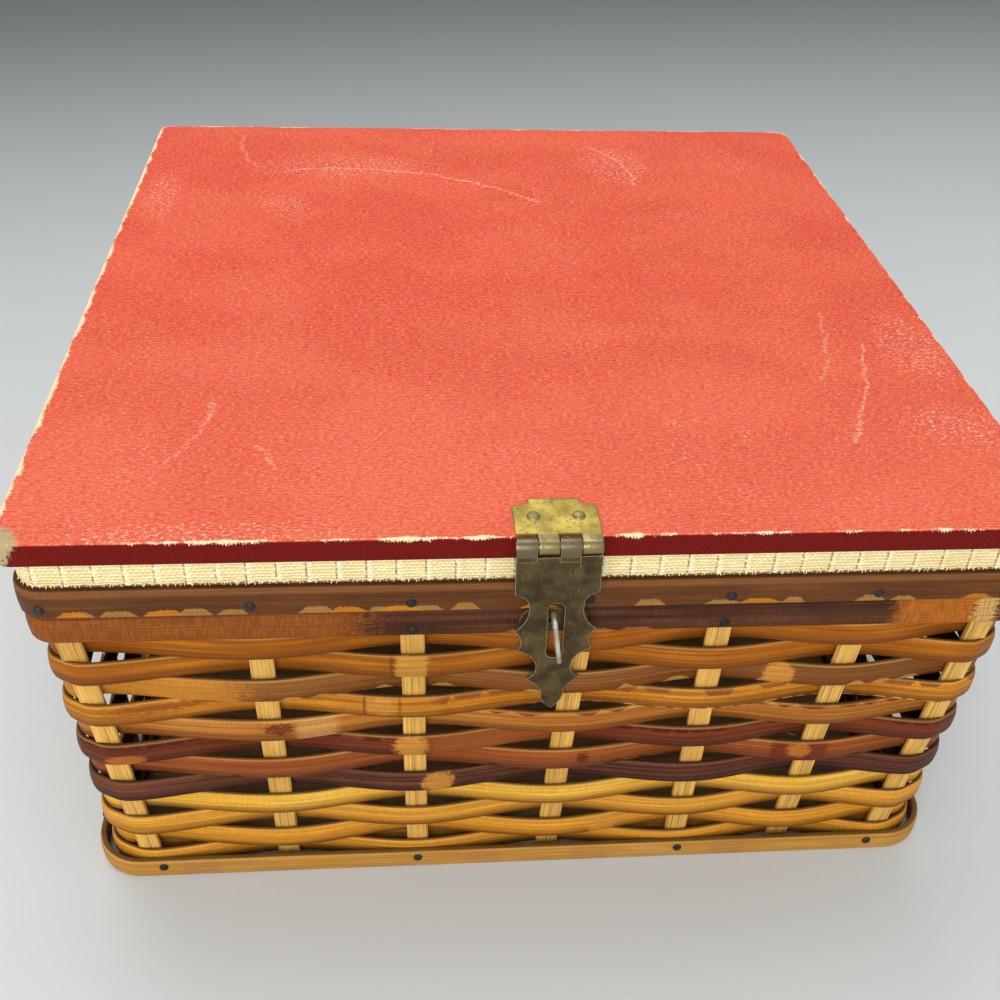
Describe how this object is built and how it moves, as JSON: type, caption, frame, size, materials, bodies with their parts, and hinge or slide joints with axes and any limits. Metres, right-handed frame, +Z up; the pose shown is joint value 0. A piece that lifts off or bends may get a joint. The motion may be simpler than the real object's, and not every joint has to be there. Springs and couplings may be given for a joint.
{
  "type": "wicker sewing box",
  "caption": "Square woven cane box with a cloth covered board lid, banded rim and foot, back hinges and a hasp with a turning eye at the front.",
  "frame": {"origin": "middle of the underside of the base board, on the surface that the box stands on", "axes": "+X to the right seen from the hasp side, +Y to the back hinges, +Z up"},
  "size_m": [0.29, 0.3165, 0.146],
  "materials": {
    "base_wood": "raw, slightly rough",
    "foot_cane": "varnished cane, worn",
    "stake_cane": "split cane, dry, with upright grain",
    "cane_honey": "varnished cane, satin",
    "cane_golden": "varnished cane, satin, one end stained brown",
    "cane_ochre": "cane with dark red marks",
    "cane_brown": "stained cane, worn",
    "cane_mahogany": "stained cane, worn",
    "cane_aubergine": "darkest stained cane, worn",
    "rim_cane": "stained cane, part orange brown and part purple brown",
    "lid_cane": "stained cane with tan worn patches",
    "frame_wood": "bent wood, raw",
    "board_core": "stiff board, cream core",
    "book_cloth": "faded red ribbed book cloth, worn cream at the edges",
    "cream_fabric": "coarse woven strip with a frayed lower edge",
    "lining_cloth": "plain woven cloth",
    "plate_brass": "yellow olive patina with brown spots",
    "nail_iron": "domed heads, blackened",
    "rivet_brass": "domed, darkened round the edge",
    "flap_bronze": "dark olive patina with bright worn edges",
    "hinge_brass": "dull brass, lightly tarnished",
    "wire_steel": "bright plated wire, worn"
  },
  "bodies": {
    "basket": {"base_board": "base_wood", "foot_band_outer": "foot_cane", "foot_band_inner": "foot_cane", "foot_nails": "nail_iron", "rim_nails": "nail_iron", "stakes_front": "stake_cane", "stakes_right": "stake_cane", "stakes_back": "stake_cane", "stakes_left": "stake_cane", "weaver_row_01": "cane_honey", "weaver_row_02": "cane_honey", "weaver_row_03": "cane_brown", "weaver_row_04": "cane_golden", "weaver_row_05": "cane_ochre", "weaver_row_06": "cane_mahogany", "weaver_row_07": "cane_brown", "weaver_row_08": "cane_aubergine", "weaver_row_09": "cane_honey", "weaver_row_10": "cane_honey", "weaver_row_11": "cane_honey", "weaver_row_12": "cane_honey", "rim_band_outer": "rim_cane", "rim_band_inner": "rim_cane", "staple_plate": "flap_bronze", "hinge_lower_leaves": "hinge_brass", "hinge_pins": "hinge_brass"},
    "lid": {"lid_board": "board_core", "lid_cloth": "book_cloth", "lid_frame": "frame_wood", "lid_band": "lid_cane", "lid_fabric_band": "cream_fabric", "lid_lining": "lining_cloth", "hasp_plate": "plate_brass", "hasp_rivets": "rivet_brass", "hasp_pin": "hinge_brass", "hinge_upper_leaves": "hinge_brass", "lid_band_nails": "nail_iron"},
    "hasp_flap": {"hasp_flap": "flap_bronze"},
    "turn_staple": {"turn_staple": "wire_steel"}
  },
  "joints": [
    {"name": "lid_hinge", "type": "hinge", "parent": "basket", "child": "lid", "pos_m": [0, 0.15335, 0.11695], "axis": [-1, 0, 0], "range_deg": [0, 110]},
    {"name": "hasp_hinge", "type": "hinge", "parent": "lid", "child": "hasp_flap", "pos_m": [0.0022, -0.155, 0.14265], "axis": [-1, 0, 0], "range_deg": [0, 180]},
    {"name": "staple_turn", "type": "hinge", "parent": "basket", "child": "turn_staple", "pos_m": [0.003, -0.1495, 0.1122], "axis": [0, -1, 0], "range_deg": [-8, 82]}
  ]
}
